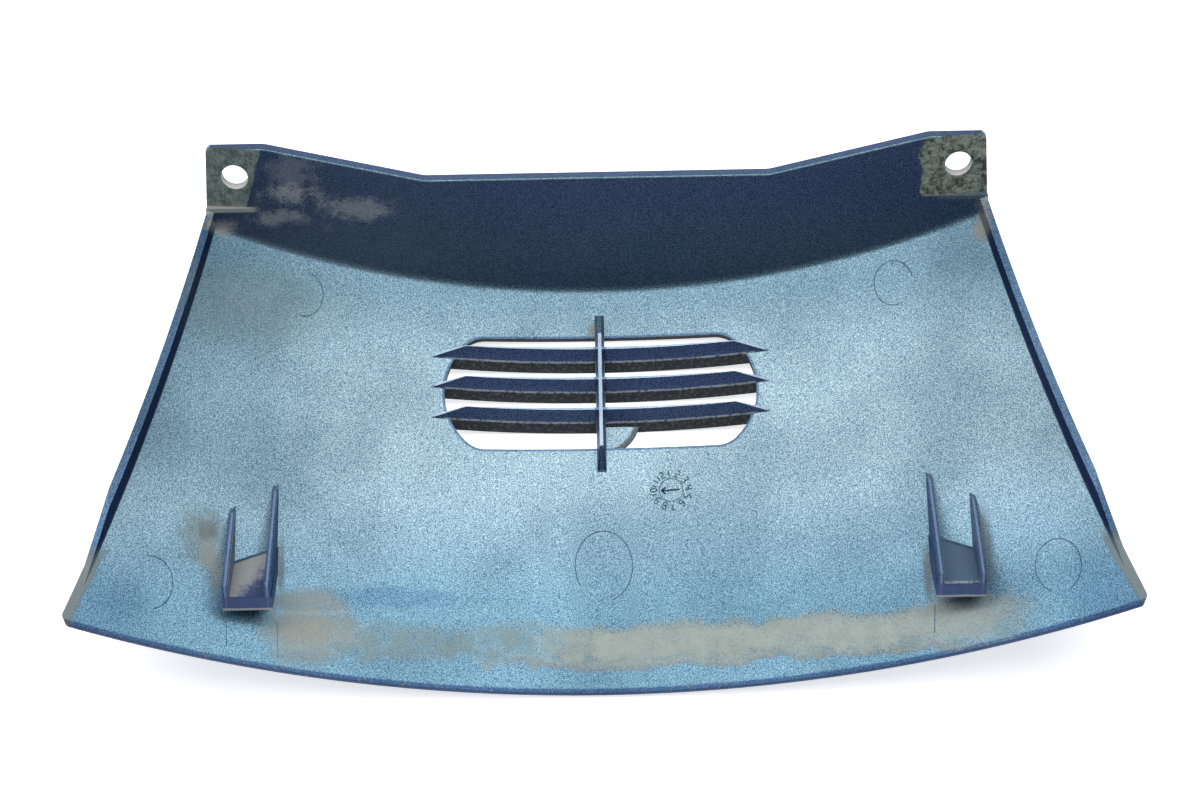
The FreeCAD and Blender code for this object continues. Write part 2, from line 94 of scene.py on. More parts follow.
# Blue paint: its flakes and painted glints, and tints that multiply it: a random cloudy tone and a smear, and
# painted shade towards the fold, the foot, the sides and the lower corners, on upright faces, lips, crests,
# rims, clips, blades, the rib, the moulded lines and the dial.
DARK_FLAKE, PALE_FLAKE, GLINT = (0.075, 0.148, 0.200), (0.308, 0.414, 0.462), (0.55, 0.67, 0.71)
CLOUD_TINT = (0.80, 0.88, 0.93)
FOLD_SHADE_TINT, FOOT_SHADE_TINT = (0.60, 0.70, 0.74), (0.56, 0.75, 0.86)
LEFT_SHADE_TINT, SIDE_SHADE_TINT, CORNER_SHADE_TINT = (0.74, 0.82, 0.85), (0.84, 0.86, 0.88), (0.86, 0.92, 1.0)
UPRIGHT_SHADE_TINT = (0.74, 0.75, 0.90)
LIP_SHADE_TINT, LIP_UPRIGHT_SHADE_TINT = (0.42, 0.52, 0.70), (0.72, 0.70, 1.0)
FLANGE_CREST_SHADE_TINT, FLANGE_UPPER_SHADE_TINT = (0.50, 0.60, 0.90), (0.90, 0.84, 1.06)
SMEAR_TINT, RIM_SHADE_TINT, VENT_RIM_SHADE_TINT = (0.70, 0.80, 0.88), (0.27, 0.35, 0.53), (0.36, 0.44, 0.60)
CLIP_SHADE_TINT, BLADE_SHADE_TINT = (0.62, 0.71, 1.04), (0.84, 0.86, 1.14)
RIB_SIDE_SHADE_TINT, RIB_FOOT_SHADE_TINT = (0.40, 0.46, 0.62), (0.42, 0.48, 0.70)
LINE_SHADE_TINT, SHADED_TINT = (0.42, 0.50, 0.58), (0.20, 0.26, 0.33)

# Colours that cover the paint where it is rubbed, chipped or dusty; among them painted highlights on the
# crests, painted shade on the left ramp and the tongues, and partly painted shade in the charcoal and the
# gate's dark rim.
FAINT_RUB, RUB_RIM = (0.30, 0.39, 0.37), (0.36, 0.36, 0.30)
DARK_RUB, PALE_RUB = (0.385, 0.435, 0.385), (0.455, 0.505, 0.450)
BARE_END, CHIPPED_RIM = (0.235, 0.275, 0.27), (0.30, 0.29, 0.25)
RIB_CREST_HIGHLIGHT = (0.36, 0.46, 0.60)
LEFT_RAMP_SHADE, RIGHT_RAMP, RAMP_DUST = (0.095, 0.125, 0.27), (0.26, 0.37, 0.47), (0.33, 0.345, 0.325)
TONGUE_SHADE_BLUE, RAMP_RIDGE, TONGUE_CHIP = (0.090, 0.125, 0.27), (0.34, 0.35, 0.32), (0.50, 0.52, 0.49)
DARK_CHARCOAL, PALE_CHARCOAL = (0.030, 0.038, 0.042), (0.095, 0.103, 0.100)
BLADE_LINE, BLADE_CREST_HIGHLIGHT = (0.50, 0.55, 0.58), (0.42, 0.54, 0.66)
RIB_SIDE_GREY, GATE_RIM_DIRT_AND_SHADE = (0.155, 0.175, 0.180), (0.085, 0.095, 0.10)
FLANGE_DUST, FLANGE_HAZE = (0.42, 0.44, 0.44), (0.15, 0.18, 0.19)
LEFT_SEAT = ((0.075, 0.107, 0.098), (0.195, 0.245, 0.220))
RIGHT_SEAT = ((0.040, 0.055, 0.045), (0.290, 0.335, 0.270))
SEAT_LEDGE, HOLE_WALL = (0.30, 0.31, 0.28), (0.52, 0.52, 0.50)

# Smudges: colour, strength, middle, reach, raggedness, softness and mattness.
FOOT_SCUFFS = (
    ((0.42, 0.43, 0.37), 0.85, (-73.5, -52.5), (10.0, 4.4), 0.8, 0.85, 1.0),
    ((0.37, 0.43, 0.405), 0.70, (-74.0, -45.6), (8.5, 3.2), 0.8, 0.85, 1.0),
    ((0.34, 0.39, 0.37), 0.50, (-74.0, -58.6), (7.0, 3.2), 0.8, 0.85, 1.0),
    ((0.42, 0.45, 0.395), 0.65, (90.0, -52.5), (11.0, 5.0), 1.0, 0.85, 1.0),
)
CORNER_DIRT = (
    ((0.33, 0.32, 0.27), 0.70, (-96.5, 51.6), (3.6, 1.8), 1.0, 0.8, 1.0),
    ((0.33, 0.32, 0.27), 0.70, (98.6, 48.5), (1.8, 4.6), 1.0, 0.8, 1.0),
    ((0.25, 0.305, 0.295), 0.25, (-88.0, 32.0), (20.0, 10.0), 0.8, 0.9, 0.6),
)
CLIP_DIRT = (
    ((0.22, 0.26, 0.24), 0.50, (-99.3, -30.0), (4.6, 6.0), 1.2, 0.9, 0.9),
    ((0.31, 0.315, 0.27), 0.60, (-97.8, -34.5), (2.0, 4.6), 1.2, 1.0, 1.0),
    ((0.31, 0.315, 0.27), 0.60, (-95.4, -39.0), (2.0, 5.0), 1.2, 1.0, 1.0),
    ((0.075, 0.09, 0.08), 0.45, (-98.8, -29.2), (1.2, 2.4), 1.6, 1.0, 1.0),
    ((0.075, 0.09, 0.08), 0.45, (-96.6, -28.6), (0.8, 1.9), 1.6, 1.0, 1.0),
    ((0.24, 0.25, 0.215), 0.45, (-80.3, -38.0), (0.7, 7.0), 0.7, 0.8, 1.0),
    ((0.23, 0.24, 0.21), 0.50, (80.4, -42.0), (1.0, 7.0), 0.7, 0.8, 1.0),
    ((0.17, 0.20, 0.19), 0.50, (94.4, -37.0), (1.8, 9.0), 0.7, 0.8, 1.0),
)
RIB_DIRT = ((0.30, 0.30, 0.26), 0.60, (-1.7, 27.8), (1.1, 2.0), 0.8, 0.8, 1.0)

# Dust on the flange: middle and reach across and up it, and strength.
DUST_PATCHES = (((-77.0, 36.0), (5.5, 4.6), 0.35), ((-78.5, 30.5), (6.0, 2.6), 0.65),
                ((-62.0, 25.5), (8.0, 3.6), 0.60), ((-81.5, 23.8), (5.0, 2.2), 0.55))

# The camera: where it looks and how far off it stands, in millimetres, and its lens.
LOOK_AT = (-0.187, 9.665, 0.0)
CAMERA_AWAY = 700.0
CAMERA_TILT = math.radians(18.0)
CAMERA_ROLL = 0.01884
CAMERA_LENS = 81.102
SENSOR_WIDTH = 36.0

# The table, in metres, and how much it shines for the camera, so that it looks as white as in strong light.
TABLE_HALF, TABLE_DROP = 1.5, 0.0002
TABLE_WHITE, TABLE_GLOW = 0.9, 0.7

# The lamps: place and size in metres, and watts; and the dim cool room.
OVERHEAD_SOFTBOX = ((-0.08, 0.25, 1.0), (1.8, 0.8), 9.4)
LONG_SOFTBOX = ((-0.08, 0.26, 0.95), (2.2, 0.2), 6.0)
ROOM_COLOUR = (0.065, 0.08, 0.12, 1.0)


def clear_stage():
    """Remove every object that didn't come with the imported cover."""
    kept = set(frame["nodes"].values()) | set(frame["bodies"].values())
    for thing in list(bpy.data.objects):
        if thing not in kept:
            bpy.data.objects.remove(thing)


class Graph:
    """Short calls that add nodes to a material and return the output socket."""

    def __init__(self, material):
        material.use_nodes = True
        self.tree = material.node_tree
        self.tree.nodes.clear()

    def add(self, kind, **settings):
        node = self.tree.nodes.new(kind)
        for name, value in settings.items():
            setattr(node, name, value)
        return node

    def feed(self, socket, value):
        """Link a socket, or set a plain number or colour on it."""
        if isinstance(value, bpy.types.NodeSocket):
            self.tree.links.new(value, socket)
        elif socket.type == "RGBA":
            socket.default_value = (*value, 1.0)
        else:
            socket.default_value = value

    def maths(self, operation, first, second=0.0):
        node = self.add("ShaderNodeMath", operation=operation)
        self.feed(node.inputs[0], first)
        self.feed(node.inputs[1], second)
        return node.outputs[0]

    def plus(self, first, second):
        return self.maths("ADD", first, second)

    def minus(self, first, second):
        return self.maths("SUBTRACT", first, second)

    def times(self, first, second):
        return self.maths("MULTIPLY", first, second)

    def size(self, value):
        """The value without its sign."""
        return self.maths("ABSOLUTE", value)

    def most(self, *masks):
        """The highest of several masks."""
        top = masks[0]
        for mask in masks[1:]:
            top = self.maths("MAXIMUM", top, mask)
        return top

    def all_of(self, *masks):
        """The product of several masks."""
        product = masks[0]
        for mask in masks[1:]:
            product = self.times(product, mask)
        return product

    def reach(self, first, second):
        """The length of a step in two directions."""
        return self.maths("SQRT", self.plus(self.times(first, first), self.times(second, second)))

    def step(self, value, start, end, low=0.0, high=1.0):
        """A smooth step from low to high as the value goes from start to end."""
        node = self.add("ShaderNodeMapRange", interpolation_type="SMOOTHSTEP")
        for socket, item in zip(node.inputs, (value, start, end, low, high)):
            self.feed(socket, item)
        return node.outputs[0]

    def band(self, value, start, end, soft):
        """A mask that is 1 between start and end, with soft edges."""
        rise = self.step(value, start - soft / 2, start + soft / 2)
        fall = self.step(value, end - soft / 2, end + soft / 2, 1.0, 0.0)
        return self.times(rise, fall)

    def mix(self, factor, first, second, blend="MIX"):
        node = self.add("ShaderNodeMix", data_type="RGBA", blend_type=blend)
        self.feed(node.inputs["Factor"], factor)
        colours = [socket for socket in node.inputs if socket.type == "RGBA"]
        self.feed(colours[0], first)
        self.feed(colours[1], second)
        return [socket for socket in node.outputs if socket.type == "RGBA"][0]

    def noise(self, point, grain, detail=4.0, rough=0.55, move=0.0):
        """Cloudy noise from 0 to 1 with spots of about the given grain in millimetres."""
        mapping = self.add("ShaderNodeMapping", vector_type="POINT")
        self.feed(mapping.inputs["Vector"], point)
        mapping.inputs["Location"].default_value = (move, move * 1.7, move * 0.6)
        node = self.add("ShaderNodeTexNoise", noise_dimensions="3D")
        self.feed(node.inputs["Vector"], mapping.outputs[0])
        node.inputs["Scale"].default_value = 1.0 / grain
        node.inputs["Detail"].default_value = detail
        node.inputs["Roughness"].default_value = rough
        return node.outputs["Fac"]


class Place:
    """Where a point of the cover lies, in millimetres, as sockets of a graph.

    height is above the panel's inner skin, level is up the flange from the fold along the draw, and behind is
    how far back a point lies from the flange's front face.
    """

    def __init__(self, graph):
        coords = graph.add("ShaderNodeTexCoord")
        scale = graph.add("ShaderNodeVectorMath", operation="SCALE")
        graph.feed(scale.inputs[0], coords.outputs["Object"])
        scale.inputs["Scale"].default_value = 1.0 / MM
        self.point = scale.outputs[0]
        split = graph.add("ShaderNodeSeparateXYZ")
        graph.feed(split.inputs[0], self.point)
        self.x, self.y, self.z = split.outputs
        self.side = graph.size(self.x)
        facing = graph.add("ShaderNodeSeparateXYZ")
        graph.feed(facing.inputs[0], coords.outputs["Normal"])
        self.facing_up = facing.outputs[2]
        self.facing_front = graph.times(facing.outputs[1], -1.0)
        square = graph.minus(INNER_RADIUS ** 2, graph.times(self.x, self.x))
        skin = graph.minus(BOW_RADIUS, graph.maths("SQRT", square))
        self.height = graph.minus(self.z, skin)
        along = graph.minus(self.y, FOLD_Y)
        up = graph.minus(self.z, WALL)
        lean = math.cos(DRAW_LEAN), math.sin(DRAW_LEAN)
        self.behind = graph.minus(graph.times(along, lean[0]), graph.times(up, lean[1]))
        self.level = graph.plus(graph.times(along, lean[1]), graph.times(up, lean[0]))


class Coat:
    """Colours laid one over another on the cover, and how matt each place has become."""

    def __init__(self, material):
        self.material = material
        self.graph = Graph(material)
        self.place = Place(self.graph)
        self.colour = None
        self.matt = 0.0
        point = self.place.point
        self.ragged = self.graph.noise(point, 5.0, detail=4.0, rough=0.65)
        self.grit = self.graph.noise(point, 0.9, detail=2.0, rough=0.7, move=21.0)
        self.cloud = self.graph.noise(point, 28.0, detail=2.0, move=7.0)
        self.flakes = self.graph.noise(point, 0.26, detail=0.0)

    def lay(self, mask, colour, matt=1.0):
        """Cover the masked places with a colour."""
        self.colour = self.graph.mix(mask, self.colour, colour)
        self.matt = self.graph.most(self.matt, self.graph.times(mask, matt))

    def tint(self, mask, colour):
        """Multiply the colour of the masked places."""
        self.colour = self.graph.mix(mask, self.colour, colour, blend="MULTIPLY")

    def fray(self, amount):
        """Ragged noise about zero."""
        return self.graph.times(self.graph.minus(self.ragged, 0.5), amount)

    def spot(self, middle, reach, rag=0.8, soft=0.5, up=None):
        """A ragged oval mask about a place, on the panel or up the flange."""
        graph = self.graph
        across = graph.maths("DIVIDE", graph.minus(self.place.x, middle[0]), reach[0])
        rise = graph.maths("DIVIDE", graph.minus(up or self.place.y, middle[1]), reach[1])
        away = graph.plus(graph.reach(across, rise), self.fray(2.0 * rag))
        return graph.step(away, 1.0 + soft, 1.0 - soft)

    def dusted(self, mask, strength):
        """A soft mask whose edges dissolve into fine grit."""
        graph = self.graph
        grain = graph.minus(graph.plus(self.grit, self.flakes), 1.0)
        shaken = graph.step(graph.plus(mask, graph.times(grain, 0.9)), 0.0, 1.15)
        return graph.times(shaken, graph.times(graph.step(mask, 0.0, 0.3), strength))

    def broken(self, mask, start, end):
        """The mask broken up into grit."""
        return self.graph.times(mask, self.graph.step(self.grit, start, end))

    def smudge(self, colour, strength, middle, reach, rag, soft, matt, where=1.0):
        """Dusty colour in a ragged oval, as far as it lies where a second mask allows it."""
        mask = self.graph.times(self.spot(middle, reach, rag, soft), where)
        self.lay(self.dusted(mask, strength), colour, matt)

    def finish(self):
        """Feed the layers to the shader: dirt is rough and not metallic, and grit stands up a little."""
        graph = self.graph
        shader = graph.add("ShaderNodeBsdfPrincipled")
        graph.feed(shader.inputs["Base Color"], self.colour)
        graph.feed(shader.inputs["Metallic"], graph.step(self.matt, 0.0, 1.0, 0.75, 0.05))
        gloss = graph.step(self.cloud, 0.35, 0.70, 0.44, 0.52)
        graph.feed(shader.inputs["Roughness"], graph.plus(gloss, graph.times(self.matt, 0.35)))
        bump = graph.add("ShaderNodeBump")
        bump.inputs["Strength"].default_value = 0.25
        bump.inputs["Distance"].default_value = 0.05 * MM
        graph.feed(bump.inputs["Height"], self.grit)
        graph.feed(shader.inputs["Normal"], bump.outputs[0])
        output = graph.add("ShaderNodeOutputMaterial")
        graph.feed(output.inputs["Surface"], shader.outputs[0])
        return self.material


def lip_mask(coat):
    """The two side lips, outward of their slanting foot lines and clear of the flange."""
    graph, place = coat.graph, coat.place
    foot = graph.plus(graph.times(graph.minus(FOLD_Y, place.y), LIP_SLOPE), LIP_FOOT)
    outward = graph.step(graph.minus(place.side, foot), -1.0, 0.0)
    return graph.times(outward, graph.step(place.behind, -1.0, -1.6))


def lay_paint(coat):
    """Flaked blue paint with painted glints: paler where it faces up and navy where it faces forward or down,
    as painted shade, with painted shade also towards the fold, the foot and the sides, on the lips, along the
    flange's crest and up its front.
    """
    graph, place = coat.graph, coat.place
    coat.colour = graph.mix(graph.step(coat.flakes, 0.30, 0.70), DARK_FLAKE, PALE_FLAKE)
    glints = graph.step(graph.noise(place.point, 0.34, detail=0.0, move=40.0), 0.66, 0.76)
    coat.lay(graph.times(glints, 0.5), GLINT, 0.0)
    coat.tint(graph.times(graph.step(coat.cloud, 0.45, 0.75), 0.5), CLOUD_TINT)
    # Painted shade: the panel darker towards the fold and the foot, and towards the left and the sides above
    # the clips.
    coat.tint(graph.step(place.y, 14.0, 40.0), FOLD_SHADE_TINT)
    coat.tint(graph.step(place.y, -8.0, -52.0), FOOT_SHADE_TINT)
    above_clips = graph.step(place.y, -32.0, -8.0)
    coat.tint(graph.times(graph.step(place.x, -50.0, -105.0), above_clips), LEFT_SHADE_TINT)
    coat.tint(graph.times(graph.step(place.side, 55.0, 105.0), above_clips), SIDE_SHADE_TINT)
    # Painted shade: faces that stand upright, such as the flange and the fronts of the blades, clips and lips,
    # turn navy.
    upright = graph.step(place.facing_up, 0.86, 0.68)
    coat.tint(upright, UPRIGHT_SHADE_TINT)
    # Painted shade: the side lips darker blue, and their upright faces deeper still.
    lips = graph.times(lip_mask(coat), graph.step(place.height, 0.4, 0.9))
    coat.tint(lips, LIP_SHADE_TINT)
    coat.tint(graph.times(lips, upright), LIP_UPRIGHT_SHADE_TINT)
    # Painted shade: the back of the flange's rounded top edge a deeper blue.
    crest = graph.times(graph.step(place.level, 32.0, 33.0), graph.step(place.behind, 0.35, 0.8))
    coat.tint(graph.times(crest, graph.step(place.facing_up, 0.60, 0.70)), FLANGE_CREST_SHADE_TINT)
    # Painted shade: the flange's upper front face darker and more violet.
    upper = graph.all_of(upright, graph.step(place.level, 8.0, 30.0), graph.step(place.behind, -1.5, 0.0))
    coat.tint(upper, FLANGE_UPPER_SHADE_TINT)


def lay_edge_wear(coat):
    """Bare, rubbed plastic at the lower ends of the side lips and in chips along the bottom rim, painted shade
    at the lower corners and along the bottom rim, and dirty corners.
    """
    graph, place = coat.graph, coat.place
    # Painted shade: the two lower corners darker and bluer.
    for corner_x in (-122.0, 122.0):
        coat.tint(coat.spot((corner_x, -50.0), (9.0, 8.0), 1.2, 0.95), CORNER_SHADE_TINT)
    edge = graph.plus(graph.times(graph.minus(SIDE_END_Y, place.y), SIDE_END_SLOPE), SIDE_END_X)
    near = graph.step(graph.plus(graph.minus(place.side, edge), coat.fray(2.0)), -2.2, -0.9)
    ends = graph.times(near, graph.step(place.y, -34.0, -40.0))
    coat.lay(graph.times(ends, 0.85), BARE_END)
    away = graph.minus(place.y, graph.plus(graph.times(place.z, FOOT_SLOPE), FOOT_Y))
    rim = graph.step(graph.plus(away, coat.fray(0.5)), 1.3, 0.6)
    # Painted shade: the bottom rim and its edge face dark blue.
    coat.tint(rim, RIM_SHADE_TINT)
    chips = graph.times(coat.broken(rim, 0.56, 0.68), graph.step(coat.ragged, 0.50, 0.62))
    coat.lay(chips, CHIPPED_RIM)
    for smudge in CORNER_DIRT:
        coat.smudge(*smudge)


def lay_foot_wear(coat):
    """The rubbed grey band above the bottom edge and the scuffed patches by the clips."""
    graph, place = coat.graph, coat.place
    coat.tint(coat.spot((-53.0, -43.5), (17.0, 2.6), 0.9), SMEAR_TINT)
    sway = graph.times(graph.minus(graph.noise(place.point, 17.0, detail=3.0, move=11.0), 0.5), 11.0)
    height = graph.plus(graph.plus(graph.plus(place.y, 55.2), sway), coat.fray(4.0))
    along = graph.plus(place.x, graph.times(sway, 3.0))
    flat = graph.times(graph.step(place.facing_up, 0.80, 0.90), graph.step(place.height, 0.8, 0.3))
    faint = graph.all_of(graph.band(height, -4.5, 3.5, 7.0), graph.band(along, -74.0, 104.0, 30.0), flat)
    mottled = graph.times(faint, graph.step(coat.ragged, 0.36, 0.60, 0.45, 1.0))
    coat.lay(coat.dusted(mottled, 0.60), FAINT_RUB, 0.9)
    strong = graph.all_of(graph.band(height, -4.4, 4.6, 5.0), graph.band(along, -12.0, 84.0, 34.0), flat)
    coat.lay(coat.dusted(strong, 0.92), graph.mix(graph.step(coat.ragged, 0.30, 0.70), DARK_RUB, PALE_RUB))
    rim = graph.all_of(graph.band(height, -6.0, -4.2, 2.0), graph.band(along, -30.0, 92.0, 20.0), flat)
    coat.lay(coat.dusted(rim, 0.45), RUB_RIM)
    for smudge in FOOT_SCUFFS:
        coat.smudge(*smudge, where=flat)


def lay_clip_dirt(coat):
    """Dirt caught round the two clips; painted shade that makes their ribs deep blue and a painted highlight
    along the ribs' crests; the left ramp and the tongues painted deep blue as shade, the right ramp a paler
    blue; and dust, a rubbed ridge and chips on the ramps and tongues.
    """
    graph, place = coat.graph, coat.place
    for smudge in CLIP_DIRT:
        coat.smudge(*smudge)
    left, right = graph.step(place.x, 0.0, -1.0), graph.step(place.x, 0.0, 1.0)
    middle = graph.size(graph.minus(place.side, CLIP_X))
    clip = graph.all_of(graph.step(middle, 7.0, 6.6), graph.step(place.height, 0.4, 0.9),
                        graph.step(place.y, -16.0, -18.0))
    # Painted shade: the clips' ribs and steep faces a deeper, bluer tone.
    coat.tint(clip, CLIP_SHADE_TINT)
    # Painted highlight: a pale line along the crest of each clip rib.
    crest = graph.step(graph.size(graph.minus(middle, CLIP_RIB)), 0.40, 0.15)
    coat.lay(graph.all_of(clip, crest, graph.step(place.facing_up, 0.45, 0.60), 0.55), RIB_CREST_HIGHLIGHT, 0.6)
    ramp = graph.all_of(clip, graph.step(middle, 4.6, 4.2), graph.step(place.y, RAMP_END_Y - 0.4, RAMP_END_Y))
    # Painted shade: the left ramp, a steep face turned forward, deep blue.
    coat.lay(graph.all_of(ramp, left, 0.8), LEFT_RAMP_SHADE, 0.2)
    slant = graph.plus(graph.times(graph.plus(place.x, CLIP_X), -0.12),
                       graph.times(graph.plus(place.y, 41.0), 0.09))
    dusty = graph.all_of(ramp, left, graph.step(graph.plus(slant, coat.fray(0.8)), -1.0, 0.2))
    coat.lay(coat.dusted(dusty, 0.95), RAMP_DUST)
    coat.lay(graph.all_of(ramp, right, 0.7), RIGHT_RAMP, 0.1)
    tongue = graph.times(clip, graph.step(place.y, RAMP_END_Y, RAMP_END_Y - 0.6))
    # Painted shade: the tongues' forward-facing ends blue-violet.
    coat.lay(graph.times(tongue, 0.75), TONGUE_SHADE_BLUE, 0.1)
    ridge = graph.all_of(ramp, graph.step(place.y, RAMP_END_Y + 1.0, RAMP_END_Y + 0.2), right)
    coat.lay(graph.times(coat.broken(ridge, 0.40, 0.55), 0.8), RAMP_RIDGE)
    frayed_level = graph.plus(place.level, coat.fray(0.8))
    chipped = graph.times(tongue, graph.step(frayed_level, TONGUE_FOOT + 0.8, TONGUE_FOOT + 0.4))
    coat.lay(graph.times(chipped, 0.85), TONGUE_CHIP)


def vent_distance(coat, across, upward):
    """How far a point lies outside the vent's outline, from its round ends or from its corners."""
    graph = coat.graph
    end = graph.minus(graph.reach(graph.minus(across, VENT_END[0]), upward), VENT_END[1])
    past = graph.most(graph.minus(across, VENT_CORNER[0]), 0.0)
    corner = graph.minus(graph.reach(past, graph.minus(upward, VENT_CORNER[1])), VENT_CORNER[2])
    below, above = VENT_TURN
    return graph.plus(graph.times(end, graph.step(upward, above, below)),
                      graph.times(corner, graph.step(upward, below, above)))


def lay_vent_marks(coat):
    """Charcoal below the blue of each blade, partly bare plastic and partly painted shade, with a rubbed line
    between;
    painted shade on the blades' fronts, the rib and the vent's rim, painted highlights on the blades' crests,
    grey on the rib's sides, and a dark rim on the gate pad, dirt and painted shade."""
    graph, place = coat.graph, coat.place
    across, upward = place.side, graph.size(graph.minus(place.y, VENT_Y))
    opening = graph.times(graph.step(across, 40.4, 39.8), graph.step(upward, 16.6, 15.6))
    steep = graph.step(place.facing_up, 0.90, 0.80)
    # Charcoal on the blades below the skin, within the wall: partly unpainted plastic, partly painted shade.
    bare = graph.all_of(opening, steep, graph.step(graph.plus(place.height, coat.fray(0.8)), 0.2, -0.1))
    coat.lay(bare, graph.mix(graph.step(coat.grit, 0.46, 0.70), DARK_CHARCOAL, PALE_CHARCOAL))
    edge = graph.band(graph.plus(place.height, coat.fray(0.4)), -0.05, 0.40, 0.25)
    rubbed = coat.broken(graph.all_of(opening, steep, edge), 0.34, 0.52)
    coat.lay(graph.times(rubbed, 0.8), BLADE_LINE)
    blades = graph.all_of(graph.step(across, 47.0, 46.0), graph.step(upward, 17.5, 16.5),
                          graph.step(place.height, 0.3, 0.6))
    # Painted shade: the blades' steep faces a deeper blue.
    coat.tint(graph.times(blades, steep), BLADE_SHADE_TINT)
    # Painted highlight: a pale line along the blades' tops.
    coat.lay(graph.all_of(blades, graph.step(place.facing_up, 0.90, 0.95), 0.5), BLADE_CREST_HIGHLIGHT, 0.2)
    rib = graph.all_of(graph.step(across, 1.8, 1.4), graph.step(place.height, 0.1, 0.4),
                       graph.step(upward, 28.0, 26.0))
    # Painted shade: the vent rib dark on either side of its thin crest, and navy at its lower end.
    coat.tint(graph.times(rib, graph.step(across, 0.30, 0.62)), RIB_SIDE_SHADE_TINT)
    coat.tint(graph.times(rib, graph.step(place.y, RIB_FOOT_Y, RIB_FOOT_Y - 1.0)), RIB_FOOT_SHADE_TINT)
    # Grey in ragged patches on the rib's steep sides above its foot.
    rib_sides = graph.all_of(rib, steep, graph.step(place.y, RIB_FOOT_Y, RIB_FOOT_Y + 1.0))
    coat.lay(graph.times(rib_sides, graph.step(coat.ragged, 0.40, 0.62, 0.1, 0.7)), RIB_SIDE_GREY)
    # Painted shade: a thin dark line on the skin round the vent's outline.
    ring = graph.times(graph.step(vent_distance(coat, across, upward), 0.75, 0.40),
                       graph.step(graph.size(place.height), 0.5, 0.2))
    coat.tint(graph.times(ring, graph.step(place.facing_up, 0.85, 0.92)), VENT_RIM_SHADE_TINT)
    coat.smudge(*RIB_DIRT)
    # Dirt and painted shade: a dark band along the gate pad's rim, where the pad sinks below the opening's
    # edge.
    gate = graph.all_of(graph.step(place.facing_up, 0.8, 0.9), opening, graph.step(place.height, -0.4, -0.8))
    rim = graph.plus(graph.reach(place.x, graph.minus(place.y, GATE_Y)), coat.fray(1.6))
    coat.lay(graph.all_of(gate, graph.step(rim, GATE_RADIUS - 1.5, GATE_RADIUS - 0.3), 0.8), GATE_RIM_DIRT_AND_SHADE)


def lay_flange_dust(coat):
    """Pale dust on the left of the flange, the matt, rubbed seats of the two ears, and their bare holes."""
    graph, place = coat.graph, coat.place
    front = graph.times(graph.step(place.facing_front, 0.2, 0.5), graph.step(place.behind, -1.4, -0.4))
    for middle, reach, strength in DUST_PATCHES:
        patch = coat.spot(middle, reach, 1.8, 0.9, place.level)
        coat.lay(graph.times(coat.dusted(patch, strength), front), FLANGE_DUST)
    haze = coat.spot((-72.0, 16.0), (34.0, 20.0), 0.8, 0.8, place.level)
    coat.lay(graph.all_of(haze, front, 0.24), FLANGE_HAZE, 0.8)
    edge, level, slope = LEFT_EAR
    left_edge = graph.plus(edge, graph.times(graph.minus(level, place.level), slope))
    past_left = graph.minus(graph.times(place.x, -1.0), left_edge)
    left = graph.step(graph.plus(past_left, coat.fray(2.5)), -0.3, 0.4)
    right = graph.step(graph.plus(graph.minus(place.x, RIGHT_EAR_X), coat.fray(7.0)), -0.4, 0.4)
    seat = graph.times(front, graph.step(place.level, *SEAT_LEVEL))
    blotch = graph.noise(place.point, 2.4, detail=3.0, rough=0.8, move=3.0)
    spots = graph.step(graph.plus(blotch, graph.times(coat.grit, 0.5)), 0.58, 0.92)
    coat.lay(graph.times(left, seat), graph.mix(spots, *LEFT_SEAT))
    coat.lay(graph.times(right, seat), graph.mix(spots, *RIGHT_SEAT))
    ledge = graph.all_of(graph.step(place.side, 86.0, 88.5), graph.band(place.level, 25.6, 27.0, 0.4),
                         graph.step(place.behind, -1.5, -0.5))
    coat.lay(graph.times(ledge, graph.step(place.x, 20.0, -20.0, 0.25, 0.85)), SEAT_LEDGE)
    hole = graph.reach(graph.minus(place.side, HOLE_X), graph.minus(place.level, HOLE_LEVEL))
    coat.lay(graph.step(hole, *HOLE_RIM), HOLE_WALL)


def blue_paint():
    """Metallic blue paint on the moulded cover, with its dust, dirt and rubbed places."""
    coat = Coat(bpy.data.materials.new("worn_blue_paint"))
    lay_paint(coat)
    lay_edge_wear(coat)
    lay_foot_wear(coat)
    lay_clip_dirt(coat)
    lay_vent_marks(coat)
    lay_flange_dust(coat)
    return coat.finish()


def mark_paint(name, tint):
    """The same paint, darkened as painted shade over a moulded line, so that the line looks dark."""
    coat = Coat(bpy.data.materials.new(name))
    lay_paint(coat)
    coat.tint(coat.graph.step(coat.ragged, 0.30, 0.60, 0.55, 1.0), tint)
    return coat.finish()


def dress_cover():
    """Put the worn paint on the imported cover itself."""
    node = frame["nodes"]["rear_cover"]
    paint = blue_paint()
    for slot in node.material_slots:
        slot.material = paint


def skin_height(x):
    """The height of the inner skin: an arc of the inner radius about a line that lies the bow radius up."""
    return BOW_RADIUS - np.sqrt(INNER_RADIUS ** 2 - x * x)


